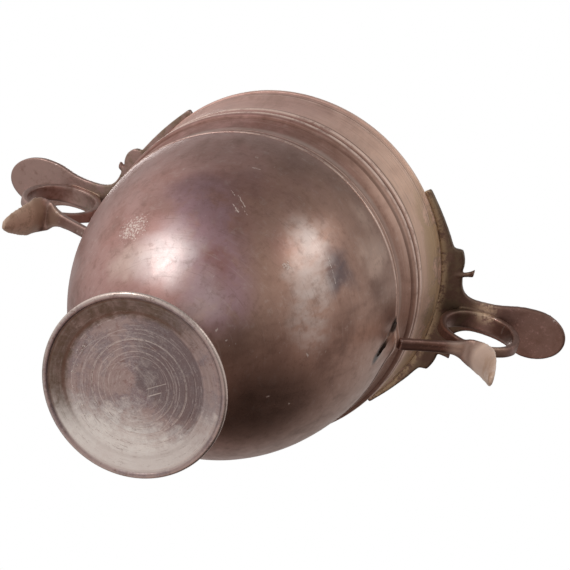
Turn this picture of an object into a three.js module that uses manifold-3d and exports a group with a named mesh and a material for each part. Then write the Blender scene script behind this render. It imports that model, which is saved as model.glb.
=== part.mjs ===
// A silver kantharos: a deep drinking cup with an egg-shaped bowl on a low turned foot, and two cast ring
// handles with thumb plates at the rim. Millimetres, +Z up. It stands on its foot, and the origin is the
// middle of the underside. The handles lie along X, and +X is the side where the wall is torn.

import * as THREE from 'three';
import { mergeVertices } from 'three/addons/utils/BufferGeometryUtils.js';
import Module from 'manifold-3d';

// Bowl: heights are stacked from the bottom of the bowl up to the mouth
const bowlBottom = 17.6;
const bellyHeight = 64.0;
const neckHeight = 14.2;
const ridgeHeight = 7.6;
const lipHeight = 19.6;
const shoulderRadius = 46.4;
const ridgeRadius = 49.3;
const mouthRadius = 54.0;
const wall = 1.2;
// how far above the shoulder the egg of the belly would be widest
const bulgeRise = 14.6;
// how far the neck curves in from a straight line between shoulder and ridge
const neckHollow = 1.1;
const shoulderBeadHeight = 1.8;
const shoulderBeadDepth = 0.45;
// how far the wall moves out over each of the two beads of the ridge
const lowerRidgeLean = 0.5;
const upperRidgeLean = 0.9;
const ridgeBeadDepth = 0.75;
const rimBeadHeight = 2.6;
const rimBeadDepth = 0.35;
const rimRound = 0.35;
// how far the mouth is pressed in on the -X side, where it is out of round
const rimPressDepth = 4.0;

// Foot
const footRadius = 22.1;
const footEdge = 2.2;
const edgeRound = 0.6;
const standingWidth = 1.1;
const recessRadius = 18.2;
const recessDepth = 1.5;
const recessShelf = 0.5;
const floorRingRadius = 10.8;
const floorRingHeight = 0.3;
const waistRadius = 8.2;
const waistHeight = 11.0;
const collarDepth = 1.4;
const collarHeight = 1.8;
const seatRadius = 11.0;

// Handle arms, lobes and buds; the angles are in degrees from the handle's middle
const armTop = 124.2;
const armHeight = 2.8;
const armAngle = 39.6;
const armTipAngle = 1.2;
const armTipWidth = 1.5;
const armRootWidth = 3.4;
const lobeWidth = 5.9;
const lobeDepth = 0.7;
const lobeStartAngle = 13.8;
const lobeEndAngle = 20.0;
const lobeStepAngle = 0.7;
const budAngle = 12.5;
const budLength = 3.6;
const budRoot = 1.6;
const budRadius = 0.8;
const budKnob = 1.15;

// Thumb plates
const plateHalfLength = 10.6;
const plateHalfWidth = 7.8;
const plateNeckHalfWidth = 5.8;
const plateNeckFrom = 1.8;
const plateNeckTo = 13.0;
const plateRootHalfWidth = 11.6;
const plateThickness = 2.2;
const plateRise = 5.0;
const plateEdgeRound = 0.5;

// Finger rings
const ringReach = 68.8;
const ringHalfWidth = 11.2;
const ringHalfHeight = 13.4;
// how far the middle of the strap is under the plate, at the top of the ring
const ringDrop = 0.5;
const ringThickness = 2.9;
const ringTopBreadth = 6.2;
const ringFootBreadth = 3.4;

// Struts under the rings, and the leaves at their ends
const strutHalfBreadth = 1.7;
const strutHalfThickness = 1.1;
// the strut's bend and its crest, inwards from the middle of the ring and down from the ring's foot
const strutBendIn = 7.0;
const strutBendDrop = 2.2;
const strutCrestIn = 0.9;
const strutCrestDrop = 0.4;
const leafFrom = 0.42;
const leafHalfWidth = 5.2;
// how late the leaf gets wide, from its stalk to its tip
const leafGrowth = 1.3;
const leafTipHeight = 77.8;
const leafLift = 1.1;

// Torn slit in the wall, on the +X side under the strut
const slitLength = 9.4;
const slitWidth = 1.5;
const slitHeight = 74.3;
const slitAngle = -2.4;
const slitTilt = -43;

// The two castings differ a little, as hand work does. The right strut stops short of the wall, where the
// sheet is pulled out and torn.
const rightTurn = -0.8;
const rightPlateReach = 94.8;
const rightStrutReach = 49.4;
const rightStrutHeight = 85.4;
const rightLeafReach = 76.0;
const rightStrutOffset = 1.0;
const rightLeafOffset = 1.0;
const leftTurn = 180;
const leftSpread = 1.13;
const leftPlateReach = 94.8;
const leftStrutReach = 45.4;
const leftStrutHeight = 88.4;
const leftLeafReach = 72.9;
const leftStrutOffset = 0.9;
const leftLeafOffset = -0.6;

// Fit of handles and foot against the bowl
const clearance = 0.3;

// Fineness of the round forms
const turnSteps = 44;
const bellySteps = 11;
const insideSteps = 8;
const curveSteps = 4;
const ringSteps = 26;
const strutSteps = 16;
const barSides = 8;

const fullTurn = 2 * Math.PI;
const shoulderLevel = bowlBottom + bellyHeight;
const ridgeLevel = shoulderLevel + neckHeight;
const lipLevel = ridgeLevel + ridgeHeight;
const mouthLevel = lipLevel + lipHeight;

// What sets one handle apart: spread widens its arms, press follows the mouth, the offsets move its strut
// and its leaf sideways
const rightHandle = {
  turn: rightTurn,
  spread: 1,
  press: 0,
  plateReach: rightPlateReach,
  strutReach: rightStrutReach,
  strutHeight: rightStrutHeight,
  leafReach: rightLeafReach,
  strutOffset: rightStrutOffset,
  leafOffset: rightLeafOffset,
};
const leftHandle = {
  turn: leftTurn,
  spread: leftSpread,
  press: rimPressDepth,
  plateReach: leftPlateReach,
  strutReach: leftStrutReach,
  strutHeight: leftStrutHeight,
  leafReach: leftLeafReach,
  strutOffset: leftStrutOffset,
  leafOffset: leftLeafOffset,
};

const silver = new THREE.MeshStandardMaterial({ color: 0x8a716a, roughness: 0.38, metalness: 0.9 });
const footSilver = new THREE.MeshStandardMaterial({ color: 0x9a8a80, roughness: 0.45, metalness: 0.9 });
const castSilver = new THREE.MeshStandardMaterial({ color: 0x7d675c, roughness: 0.42, metalness: 0.9 });

const wasm = await Module();
wasm.setup();

// A closed mesh as a solid that can be cut and joined
function toSolid(geometry) {
  const bare = geometry.index ? geometry.toNonIndexed() : geometry.clone();
  bare.deleteAttribute('normal');
  bare.deleteAttribute('uv');
  const merged = mergeVertices(bare, 1e-4);
  return new wasm.Manifold(new wasm.Mesh({
    numProp: 3,
    vertProperties: new Float32Array(merged.attributes.position.array),
    triVerts: new Uint32Array(merged.index.array),
  }));
}

function toGeometry(solid) {
  const mesh = solid.getMesh();
  const geometry = new THREE.BufferGeometry();
  geometry.setAttribute('position', new THREE.BufferAttribute(mesh.vertProperties, mesh.numProp));
  geometry.setIndex(new THREE.BufferAttribute(mesh.triVerts, 1));
  geometry.computeVertexNormals();
  return geometry;
}

function radians(degrees) {
  return THREE.MathUtils.degToRad(degrees);
}

// A profile of (radius, height) points turned about +Z
function turned(profile) {
  const geometry = new THREE.LatheGeometry(profile, turnSteps);
  geometry.rotateX(Math.PI / 2);
  return geometry;
}

// Radius of the belly, part of an ellipse that rises from the bottom of the bowl
function bellyRadius(height, inset = 0) {
  const half = bellyHeight + bulgeRise;
  const widest = shoulderRadius / Math.sqrt(1 - (bulgeRise / half) ** 2);
  const share = (height - bowlBottom - half) / (half - inset);
  return (widest - inset) * Math.sqrt(Math.max(0, 1 - share * share));
}

// The belly's profile from the axis up to the shoulder, in even steps of angle
function bellyPoints(steps, inset = 0) {
  const half = bellyHeight + bulgeRise;
  const centre = bowlBottom + half;
  const last = Math.acos(bulgeRise / (half - inset));
  const points = [];
  for (let step = 0; step <= steps; step += 1) {
    const height = centre - (half - inset) * Math.cos((last * step) / steps);
    points.push(new THREE.Vector2(step === 0 ? 0 : bellyRadius(height, inset), height));
  }
  return points;
}

// A curve from one (radius, height) point to another, bowed in by a hollow
function bowedPoints(from, to, hollow, steps) {
  const middle = from.clone().lerp(to, 0.5);
  middle.x -= 2 * hollow;
  return new THREE.QuadraticBezierCurve(from, middle, to).getPoints(steps);
}

// A half-round bead on a profile, standing out from the line between two points
function beadPoints(from, to, depth) {
  const points = [];
  for (let step = 1; step < curveSteps; step += 1) {
    const angle = (Math.PI * step) / curveSteps;
    const point = from.clone().lerp(to, (1 - Math.cos(angle)) / 2);
    point.x += depth * Math.sin(angle);
    points.push(point);
  }
  return points;
}

// Presses a mesh around the mouth in on the side that sign gives, most at the top and nothing at the shoulder
function pressed(geometry, press, sign) {
  const place = geometry.attributes.position;
  for (let index = 0; index < place.count; index += 1) {
    const x = place.getX(index);
    const y = place.getY(index);
    const radius = Math.max(Math.hypot(x, y), clearance);
    const rise = THREE.MathUtils.smoothstep(place.getZ(index), shoulderLevel, mouthLevel);
    const side = Math.max(0, (sign * x) / radius) ** 3;
    const scale = 1 - (press * rise * side) / radius;
    place.setXY(index, x * scale, y * scale);
  }
  return geometry;
}

// The outside of the bowl from the axis to the top of the lip
function bowlOutside(offset = 0) {
  const shoulder = new THREE.Vector2(shoulderRadius, shoulderLevel);
  const neckStart = new THREE.Vector2(shoulderRadius, shoulderLevel + shoulderBeadHeight);
  const ridge = new THREE.Vector2(ridgeRadius, ridgeLevel);
  const groove = new THREE.Vector2(ridgeRadius + lowerRidgeLean, ridgeLevel + ridgeHeight / 2);
  const lip = new THREE.Vector2(groove.x + upperRidgeLean, lipLevel);
  const rimStart = new THREE.Vector2(mouthRadius - rimBeadDepth, mouthLevel - rimBeadHeight);
  const points = [
    ...bellyPoints(bellySteps),
    ...beadPoints(shoulder, neckStart, shoulderBeadDepth),
    ...bowedPoints(neckStart, ridge, neckHollow, curveSteps),
    ...beadPoints(ridge, groove, ridgeBeadDepth),
    groove,
    ...beadPoints(groove, lip, ridgeBeadDepth),
    ...bowedPoints(lip, rimStart, rimBeadDepth, curveSteps - 1),
    new THREE.Vector2(mouthRadius, mouthLevel - rimBeadHeight + rimBeadDepth),
    new THREE.Vector2(mouthRadius, mouthLevel - rimRound),
  ];
  return points.map((point) => new THREE.Vector2(point.x === 0 ? 0 : point.x + offset, point.y));
}

// The inside of the bowl from the lip down to the axis, one wall in from the outside
function bowlInside() {
  const shoulder = new THREE.Vector2(shoulderRadius - wall, shoulderLevel);
  const ridge = new THREE.Vector2(ridgeRadius - wall, ridgeLevel);
  return [
    ...bellyPoints(insideSteps, wall),
    ...bowedPoints(shoulder, ridge, neckHollow, 2).slice(1),
    new THREE.Vector2(mouthRadius - wall, mouthLevel - rimRound),
    new THREE.Vector2(mouthRadius - wall + rimRound, mouthLevel),
    new THREE.Vector2(mouthRadius - rimRound, mouthLevel),
  ].reverse();
}

// A pointed slit that goes through the wall
function slit() {
  const outline = new THREE.Shape();
  outline.moveTo(-slitLength / 2, 0);
  outline.quadraticCurveTo(0, slitWidth, slitLength / 2, 0);
  outline.quadraticCurveTo(0, -slitWidth, -slitLength / 2, 0);
  const depth = slitLength;
  const geometry = new THREE.ExtrudeGeometry(outline, {
    depth,
    bevelEnabled: false,
    curveSegments: curveSteps,
  });
  geometry.translate(0, 0, -depth / 2);
  geometry.rotateZ(radians(slitTilt));
  geometry.rotateX(Math.PI / 2);
  geometry.rotateZ(Math.PI / 2);
  geometry.translate(bellyRadius(slitHeight), 0, slitHeight);
  geometry.rotateZ(radians(slitAngle));
  return toSolid(geometry);
}

function bowl() {
  const shell = toSolid(pressed(turned([...bowlOutside(), ...bowlInside()]), rimPressDepth, -1));
  return toGeometry(shell.subtract(slit()));
}

// Everything that the bowl and its inside take up, with a clearance all round, in the own frame of a handle
function bowlSpace(own) {
  const outside = bowlOutside(clearance);
  const bottom = new THREE.Vector2(0, bowlBottom - clearance);
  const top = armTop + armHeight;
  const geometry = pressed(turned([
    bottom,
    ...outside.slice(1),
    new THREE.Vector2(mouthRadius + clearance, top),
    new THREE.Vector2(0, top),
  ]), rimPressDepth, -1);
  geometry.rotateZ(-radians(own.turn));
  return toSolid(geometry);
}

// The seat under the bowl, from its edge in to the axis
function seatPoints() {
  const half = bellyHeight + bulgeRise;
  const widest = shoulderRadius / Math.sqrt(1 - (bulgeRise / half) ** 2);
  const points = [];
  for (let step = 0; step < curveSteps; step += 1) {
    const across = seatRadius * (1 - step / (curveSteps - 1));
    const height = bowlBottom + half - half * Math.sqrt(1 - (across / widest) ** 2);
    points.push(new THREE.Vector2(across, height - clearance));
  }
  return points;
}

// The foot's profile: recessed floor with a raised ring, standing ring, rolled edge, flared stem, waist, seat
function footProfile() {
  const standingRadius = footRadius - edgeRound;
  const standingInner = standingRadius - standingWidth;
  const waist = new THREE.Vector2(waistRadius, waistHeight);
  const collarTop = new THREE.Vector2(waistRadius, waistHeight + collarHeight);
  const flare = new THREE.QuadraticBezierCurve(
    new THREE.Vector2(standingRadius - edgeRound, footEdge),
    new THREE.Vector2(waistRadius, footEdge),
    waist,
  );
  return [
    new THREE.Vector2(0, recessDepth),
    new THREE.Vector2(floorRingRadius - floorRingHeight, recessDepth),
    new THREE.Vector2(floorRingRadius, recessDepth - floorRingHeight),
    new THREE.Vector2(floorRingRadius + floorRingHeight, recessDepth),
    new THREE.Vector2(recessRadius - edgeRound, recessDepth),
    new THREE.Vector2(recessRadius, recessShelf),
    new THREE.Vector2(standingInner - edgeRound, recessShelf),
    new THREE.Vector2(standingInner, 0),
    new THREE.Vector2(standingRadius, 0),
    new THREE.Vector2(footRadius, edgeRound),
    new THREE.Vector2(footRadius, footEdge - edgeRound),
    ...flare.getPoints(curveSteps + 1),
    ...beadPoints(waist, collarTop, collarDepth),
    collarTop,
    ...seatPoints(),
  ];
}

function foot() {
  return turned(footProfile());
}

// A point in plan at a radius and an angle from the handle's own axis
function around(radius, degrees) {
  return new THREE.Vector2(radius * Math.cos(radians(degrees)), radius * Math.sin(radians(degrees)));
}

// One half of the arms' outline, from the middle out to the tip, on the side that sign gives
function armOutline(sign, spread) {
  const side = sign * spread;
  const root = mouthRadius + lobeWidth;
  const points = [around(root, (side * budAngle) / 2)];
  for (let step = 0; step <= curveSteps; step += 1) {
    const share = step / curveSteps;
    const bulge = lobeDepth * Math.sin(Math.PI * share);
    points.push(around(root + bulge, side * THREE.MathUtils.lerp(lobeStartAngle, lobeEndAngle, share)));
  }
  for (let step = 0; step <= curveSteps; step += 1) {
    const share = step / curveSteps;
    const width = THREE.MathUtils.lerp(armTipWidth, armRootWidth, (1 - share) ** 2);
    const from = lobeEndAngle + lobeStepAngle;
    points.push(around(mouthRadius + width, side * THREE.MathUtils.lerp(from, armAngle, share)));
  }
  points.push(around(mouthRadius, side * (armAngle + armTipAngle)));
  points.push(around(mouthRadius - lobeWidth / 2, side * (armAngle + armTipAngle)));
  return points;
}

// The arms, two curved bars along the rim with a lobe each
function arms(own) {
  const inner = [];
  const innerSteps = 2 * curveSteps;
  const reach = armAngle * own.spread;
  for (let step = 1; step < innerSteps; step += 1) {
    inner.push(around(mouthRadius - lobeWidth / 2, THREE.MathUtils.lerp(reach, -reach, step / innerSteps)));
  }
  const outline = [...armOutline(1, own.spread), ...inner, ...armOutline(-1, own.spread).reverse()];
  const geometry = new THREE.ExtrudeGeometry(new THREE.Shape(outline), {
    depth: armHeight - 2 * plateEdgeRound,
    bevelThickness: plateEdgeRound,
    bevelSize: plateEdgeRound,
    bevelOffset: -plateEdgeRound,
    bevelSegments: 1,
  });
  geometry.translate(0, 0, armTop - armHeight + plateEdgeRound);
  return toSolid(pressed(geometry, own.press, 1));
}

// The thumb plate in plan: a neck that widens inwards to the arms and outwards to a round end
function plateOutline(own) {
  const roundCentre = own.plateReach - plateHalfLength;
  const root = mouthRadius - own.press;
  const neckFrom = root + plateNeckFrom;
  const neckTo = mouthRadius + plateNeckTo;
  const neckMiddle = (neckFrom + neckTo) / 2;
  const plateMiddle = (neckTo + roundCentre) / 2;
  const outline = new THREE.Shape();
  outline.moveTo(root - lobeWidth, -plateRootHalfWidth);
  outline.lineTo(neckFrom, -plateRootHalfWidth);
  outline.bezierCurveTo(
    neckFrom, -plateNeckHalfWidth, neckMiddle, -plateNeckHalfWidth, neckTo, -plateNeckHalfWidth,
  );
  outline.bezierCurveTo(
    plateMiddle, -plateNeckHalfWidth, plateMiddle, -plateHalfWidth, roundCentre, -plateHalfWidth,
  );
  outline.absellipse(roundCentre, 0, plateHalfLength, plateHalfWidth, -Math.PI / 2, Math.PI / 2, false, 0);
  outline.bezierCurveTo(
    plateMiddle, plateHalfWidth, plateMiddle, plateNeckHalfWidth, neckTo, plateNeckHalfWidth,
  );
  outline.bezierCurveTo(
    neckMiddle, plateNeckHalfWidth, neckFrom, plateNeckHalfWidth, neckFrom, plateRootHalfWidth,
  );
  outline.lineTo(root - lobeWidth, plateRootHalfWidth);
  return outline;
}

// How far the plate has risen at a distance from the axis
function plateLift(own, reach) {
  const share = THREE.MathUtils.clamp((reach - mouthRadius) / (own.plateReach - mouthRadius), 0, 1);
  return plateRise * share * (2 - share);
}

function plate(own) {
  const geometry = new THREE.ExtrudeGeometry(plateOutline(own), {
    depth: plateThickness - 2 * plateEdgeRound,
    bevelThickness: plateEdgeRound,
    bevelSize: plateEdgeRound,
    bevelOffset: -plateEdgeRound,
    bevelSegments: 1,
    curveSegments: curveSteps + 2,
  });
  geometry.translate(0, 0, armTop - plateThickness + plateEdgeRound);
  // the plate rises towards its tip
  const place = geometry.attributes.position;
  for (let index = 0; index < place.count; index += 1) {
    place.setZ(index, place.getZ(index) + plateLift(own, place.getX(index)));
  }
  return toSolid(geometry);
}

// The level of the ring's middle, hung from the underside of the plate
function ringLevel(own) {
  return armTop - plateThickness + plateLift(own, ringReach) - ringDrop - ringHalfHeight;
}

// The finger ring, an upright oval strap under the plate, broad at the top and narrow at its foot
function ring(own) {
  const tube = ringThickness / 2 / ringHalfWidth;
  const geometry = new THREE.TorusGeometry(1, tube, barSides, ringSteps);
  geometry.rotateX(Math.PI / 2);
  geometry.scale(ringHalfWidth, 1 / tube, ringHalfHeight);
  const place = geometry.attributes.position;
  for (let index = 0; index < place.count; index += 1) {
    const share = THREE.MathUtils.smoothstep(place.getZ(index), -ringHalfHeight, ringHalfHeight);
    place.setY(index, (place.getY(index) * THREE.MathUtils.lerp(ringFootBreadth, ringTopBreadth, share)) / 2);
  }
  geometry.translate(ringReach, 0, ringLevel(own));
  return toSolid(geometry);
}

// How wide the leaf is at a share of its length, 1 at the widest place
function leafSwell(share) {
  const widest = leafGrowth / (leafGrowth + 1);
  return (share / widest) ** leafGrowth * ((1 - share) / (1 - widest));
}

// The closed mesh of a bar made of rings of points, one ring after another
function barSolid(positions) {
  const indices = [];
  const last = positions.length / 3 - barSides;
  for (let here = 0; here < last; here += barSides) {
    const there = here + barSides;
    for (let side = 0; side < barSides; side += 1) {
      const next = (side + 1) % barSides;
      indices.push(here + side, here + next, there + side);
      indices.push(here + next, there + next, there + side);
    }
  }
  for (let side = 1; side < barSides - 1; side += 1) {
    indices.push(0, side + 1, side);
    indices.push(last, last + side, last + side + 1);
  }
  const geometry = new THREE.BufferGeometry();
  geometry.setAttribute('position', new THREE.Float32BufferAttribute(positions, 3));
  geometry.setIndex(indices);
  return toSolid(geometry);
}

// The strut and its leaf, one bar that climbs from the wall, crosses under the ring and hangs down as a leaf
function strut(own) {
  const ringFoot = ringLevel(own) - ringHalfHeight;
  const leafMiddle = THREE.MathUtils.lerp(ringFoot, leafTipHeight, leafFrom);
  const crestOffset = (own.strutOffset + own.leafOffset) / 2;
  const line = new THREE.CatmullRomCurve3([
    new THREE.Vector3(own.strutReach, own.strutOffset, own.strutHeight),
    new THREE.Vector3(ringReach - strutBendIn, own.strutOffset, ringFoot - strutBendDrop),
    new THREE.Vector3(ringReach - strutCrestIn, crestOffset, ringFoot - strutCrestDrop),
    new THREE.Vector3(own.leafReach - ringThickness, own.leafOffset, leafMiddle),
    new THREE.Vector3(own.leafReach, own.leafOffset, leafTipHeight),
  ]);
  const positions = [];
  for (let step = 0; step <= strutSteps; step += 1) {
    const share = step / strutSteps;
    const centre = line.getPointAt(share);
    const along = line.getTangentAt(share);
    const leaf = THREE.MathUtils.clamp((share - leafFrom) / (1 - leafFrom), 0, 1);
    const swell = leafSwell(leaf);
    const bar = strutHalfBreadth * (1 - leaf * (1 - leaf / 4));
    const halfWidth = Math.max(THREE.MathUtils.lerp(bar, leafHalfWidth, swell), strutHalfBreadth / 4);
    const halfThickness = strutHalfThickness * (1 - leaf / 2);
    for (let side = 0; side < barSides; side += 1) {
      const angle = (fullTurn * side) / barSides;
      const edge = Math.cos(angle);
      const out = halfThickness * Math.sin(angle) + leafLift * swell * edge * edge;
      positions.push(centre.x - along.z * out, centre.y + halfWidth * edge, centre.z + along.x * out);
    }
  }
  return barSolid(positions);
}

// A small bud on a stem, pointing out from the arm
function bud(sign, own) {
  const length = budLength + budRoot;
  const geometry = new THREE.LatheGeometry([
    new THREE.Vector2(0, 0),
    new THREE.Vector2(budRadius, 0),
    new THREE.Vector2(budRadius, length - 2 * budKnob),
    new THREE.Vector2(budKnob, length - budKnob),
    new THREE.Vector2(budRadius, length),
    new THREE.Vector2(0, length),
  ], barSides);
  geometry.rotateZ(-Math.PI / 2);
  geometry.translate(mouthRadius + lobeWidth - budRoot, 0, armTop - armHeight / 2);
  geometry.rotateZ(radians(sign * budAngle * own.spread));
  return toSolid(pressed(geometry, own.press, 1));
}

// One handle's mesh, cast in its own frame, cut to the bowl and turned into its place
function handle(name, own) {
  const rimParts = arms(own).add(bud(1, own)).add(bud(-1, own));
  const casting = rimParts.add(plate(own)).add(ring(own)).add(strut(own));
  const mesh = named(name, toGeometry(casting.subtract(bowlSpace(own))), castSilver.clone());
  mesh.rotation.z = radians(own.turn);
  return mesh;
}

function named(name, geometry, material) {
  const mesh = new THREE.Mesh(geometry, material);
  mesh.name = name;
  return mesh;
}

const kantharos = new THREE.Group();
kantharos.add(
  named('bowl', bowl(), silver),
  named('foot', foot(), footSilver),
  handle('handle_right', rightHandle),
  handle('handle_left', leftHandle),
);

export default kantharos;
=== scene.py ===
# %% [markdown]
# # A silver kantharos
#
# This lesson dresses an ancient drinking cup in Blender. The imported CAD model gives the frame: a bowl, a
# turned foot and two cast handles, in metres, standing on z = 0 with the handles along x. Every piece made
# here lies in that frame, and replaces the CAD node of the same name with a finer mesh and a finish of old
# silver.

# %% The frame
import math

import bpy
from mathutils import Matrix, Vector, noise


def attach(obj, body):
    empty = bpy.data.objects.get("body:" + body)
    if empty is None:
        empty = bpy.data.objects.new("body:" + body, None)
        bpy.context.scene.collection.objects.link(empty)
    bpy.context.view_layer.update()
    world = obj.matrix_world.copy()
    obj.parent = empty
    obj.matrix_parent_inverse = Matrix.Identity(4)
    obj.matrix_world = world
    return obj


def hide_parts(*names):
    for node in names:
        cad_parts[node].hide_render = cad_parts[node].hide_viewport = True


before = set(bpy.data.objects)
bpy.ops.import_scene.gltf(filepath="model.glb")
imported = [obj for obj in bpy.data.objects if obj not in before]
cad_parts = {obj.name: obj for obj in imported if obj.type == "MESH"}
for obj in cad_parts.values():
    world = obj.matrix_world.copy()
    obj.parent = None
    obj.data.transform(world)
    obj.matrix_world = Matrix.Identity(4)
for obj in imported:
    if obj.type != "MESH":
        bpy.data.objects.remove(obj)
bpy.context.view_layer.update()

mm = 0.001

# %% [markdown]
# ## The camera
#
# The photograph looks up at the cup from below, with the underside of the foot in front. Such a view could be
# found by hand, but here the circles of foot, shoulder and mouth gave the camera's place and its three axes,
# so they are written down as they were found. The lens is 36 mm of sensor over the width of the picture.

# %% Camera
camera_right = Vector((0.9396, -0.2380, 0.2460))
camera_up = Vector((-0.2991, -0.9204, 0.2520))
camera_back = camera_right.cross(camera_up)
camera_place = Vector((0.0698, -0.1124, -0.2365))
picture_width = 570
focal_in_pixels = 1200


def add_camera():
    lens = bpy.data.cameras.new("camera")
    lens.sensor_width = 36
    lens.lens = lens.sensor_width * focal_in_pixels / picture_width
    lens.clip_start = 0.01
    camera = bpy.data.objects.new("camera", lens)
    bpy.context.scene.collection.objects.link(camera)
    turn = Matrix((camera_right, camera_up, camera_back)).transposed().to_4x4()
    camera.matrix_world = Matrix.Translation(camera_place) @ turn
    bpy.context.scene.camera = camera
    return camera


camera = add_camera()
print("camera: lens", round(camera.data.lens, 2), "mm")

# %% [markdown]
# ## Tools of the workbench
#
# A few helpers keep the steps short. `pick` leaves one object selected and active, because an operator acts
# on all that is selected. `edit` opens it in edit mode and selects the vertices for which a test holds, and
# `shape` moves every vertex by a rule, as a smith moves metal.

# %% Workbench helpers
def pick(thing):
    bpy.ops.object.select_all(action="DESELECT")
    thing.select_set(True)
    bpy.context.view_layer.objects.active = thing
    return thing


def edit(thing, test=lambda place: True, kind="VERT"):
    pick(thing)
    bpy.ops.object.mode_set(mode="EDIT")
    bpy.ops.mesh.select_mode(type="VERT")
    bpy.ops.mesh.select_all(action="DESELECT")
    bpy.ops.object.mode_set(mode="OBJECT")
    for vertex in thing.data.vertices:
        vertex.select = test(vertex.co)
    bpy.ops.object.mode_set(mode="EDIT")
    bpy.ops.mesh.select_mode(type=kind)


def leave_edit():
    bpy.ops.object.mode_set(mode="OBJECT")


def shape(thing, rule):
    for vertex in thing.data.vertices:
        vertex.co = rule(vertex.co)
    thing.data.update()


def apply_modifier(thing, kind, **settings):
    pick(thing)
    modifier = thing.modifiers.new(kind.lower(), kind)
    for key, value in settings.items():
        setattr(modifier, key, value)
    bpy.ops.object.modifier_apply(modifier=modifier.name)


def named(thing, name):
    thing.name = name
    thing.data.name = name
    return thing


def tell(thing):
    faces = sum(len(face.vertices) - 2 for face in thing.data.polygons)
    size = [round(length / mm, 1) for length in thing.dimensions]
    print(f"{thing.name}: {faces} triangles, {size} mm")


def smoothstep(low, high, value):
    share = min(1.0, max(0.0, (value - low) / (high - low)))
    return share * share * (3 - 2 * share)


def mix(low, high, share):
    return low + (high - low) * share


# %% [markdown]
# ## Turning a profile
#
# Bowl and foot were raised and trued on a lathe, so both are a profile turned about the axis. A modifier
# could do it, but drawing the profile with extrude and closing it with the spin tool keeps every ring where
# it is wanted. The profile is a list of (radius, height) in millimetres. It starts and ends on the axis, so
# the body is closed.

# %% Lathe
def turn_profile(name, profile, steps):
    radius, height = profile[0]
    bpy.ops.object.select_all(action="DESELECT")
    bpy.ops.mesh.primitive_plane_add(size=mm, location=(0, 0, 0))
    body = named(bpy.context.object, name)
    bpy.ops.object.mode_set(mode="EDIT")
    bpy.ops.mesh.select_mode(type="VERT")
    bpy.ops.mesh.select_all(action="SELECT")
    bpy.ops.mesh.merge(type="CENTER")
    bpy.ops.transform.translate(value=(radius * mm, 0, height * mm))
    for point in profile[1:]:
        step = ((point[0] - radius) * mm, 0, (point[1] - height) * mm)
        bpy.ops.mesh.extrude_region_move(TRANSFORM_OT_translate={"value": step})
        radius, height = point
    bpy.ops.mesh.select_all(action="SELECT")
    bpy.ops.mesh.spin(steps=steps, angle=2 * math.pi, center=(0, 0, 0), axis=(0, 0, 1))
    bpy.ops.mesh.select_all(action="SELECT")
    bpy.ops.mesh.remove_doubles(threshold=0.002 * mm)
    bpy.ops.mesh.normals_make_consistent(inside=False)
    leave_edit()
    return body


def arc(start, end, bow, steps):
    """Points on a gentle curve from start to end, bowed out by bow, without the first point"""
    points = []
    for step in range(1, steps + 1):
        share = step / steps
        out = 4 * bow * share * (1 - share)
        points.append((mix(start[0], end[0], share) + out, mix(start[1], end[1], share)))
    return points


def bead(start, end, depth, steps=8):
    """A half-round bead that stands out from the line between two points, without the first point"""
    points = []
    for step in range(1, steps + 1):
        angle = math.pi * step / steps
        share = (1 - math.cos(angle)) / 2
        out = depth * math.sin(angle)
        points.append((mix(start[0], end[0], share) + out, mix(start[1], end[1], share)))
    return points


# %% [markdown]
# ## The bowl
#
# The belly is part of an egg, hammered from one sheet. It ends in a soft shoulder with a fine double line.
# Over it come a hollow neck, a double ridge between dark grooves, and the flared lip with a turned line and a
# rounded edge. The inside follows one wall further in, so the cup is truly hollow.

# %% Bowl profile
bowl_bottom = 17.6
shoulder_height = 81.6
shoulder_radius = 46.4
egg_rise = 14.6
egg_half = shoulder_height - bowl_bottom + egg_rise
egg_radius = shoulder_radius / math.sqrt(1 - (egg_rise / egg_half) ** 2)
mouth_height = 123.0
mouth_radius = 54.0
wall = 1.2
upper_wall = ((bead, (46.35, 83.0), 0.28, 5), (arc, (46.25, 84.6), -0.12, 3), (bead, (46.5, 86.3), 0.12, 4),
              (arc, (48.6, 94.6), -0.75, 12), (arc, (48.85, 95.2), -0.18, 3), (bead, (49.5, 99.1), 0.95, 10),
              (arc, (49.6, 99.5), -0.2, 3), (bead, (50.35, 102.7), 0.7, 9), (arc, (50.55, 103.3), -0.3, 4),
              (arc, (53.0, 117.2), -0.42, 14), (arc, (53.12, 117.7), -0.1, 3), (arc, (53.45, 120.3), -0.08, 4),
              (bead, (53.5, 122.6), 0.5, 7))


def belly_radius(height, inset=0.0):
    share = (height - bowl_bottom - egg_half) / (egg_half - inset)
    return (egg_radius - inset) * math.sqrt(max(0.0, 1 - share * share))


def belly(steps, inset=0.0):
    last = math.acos(egg_rise / (egg_half - inset))
    points = [(0.0, bowl_bottom + inset)]
    for step in range(1, steps + 1):
        height = bowl_bottom + egg_half - (egg_half - inset) * math.cos(last * step / steps)
        points.append((belly_radius(height, inset), height))
    return points


def bowl_profile():
    points = belly(58)
    for draw, end, depth, steps in upper_wall:
        points += draw(points[-1], end, depth, steps)
    points += [(53.35, 122.92), (53.05, mouth_height), (52.75, mouth_height), (52.5, 122.85)]
    inner = belly(34, wall)
    inner += arc(inner[-1], (48.2, 96.6), -0.7, 8)
    inner += arc(inner[-1], (52.4, 122.5), -0.2, 12)
    return points + inner[::-1]


bowl = turn_profile("silver_bowl", bowl_profile(), 320)
tell(bowl)

# %% [markdown]
# ## The tear in the wall
#
# Under the strut of the right handle the sheet is pulled out and torn along a slanted slit. A slit could be a
# dark line in the finish, but its lifted lip catches the light, so it is real: the wall is divided finely
# there, a thin lens-shaped cutter goes through it, and the metal beside the slit is then bent out by a rule.

# %% Slit and lifted lip
tear_top = (-7.9, 82.6)
tear_foot = (1.4, 71.0)
tear_radius = 45.6
slit_half_width = 0.8


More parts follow.
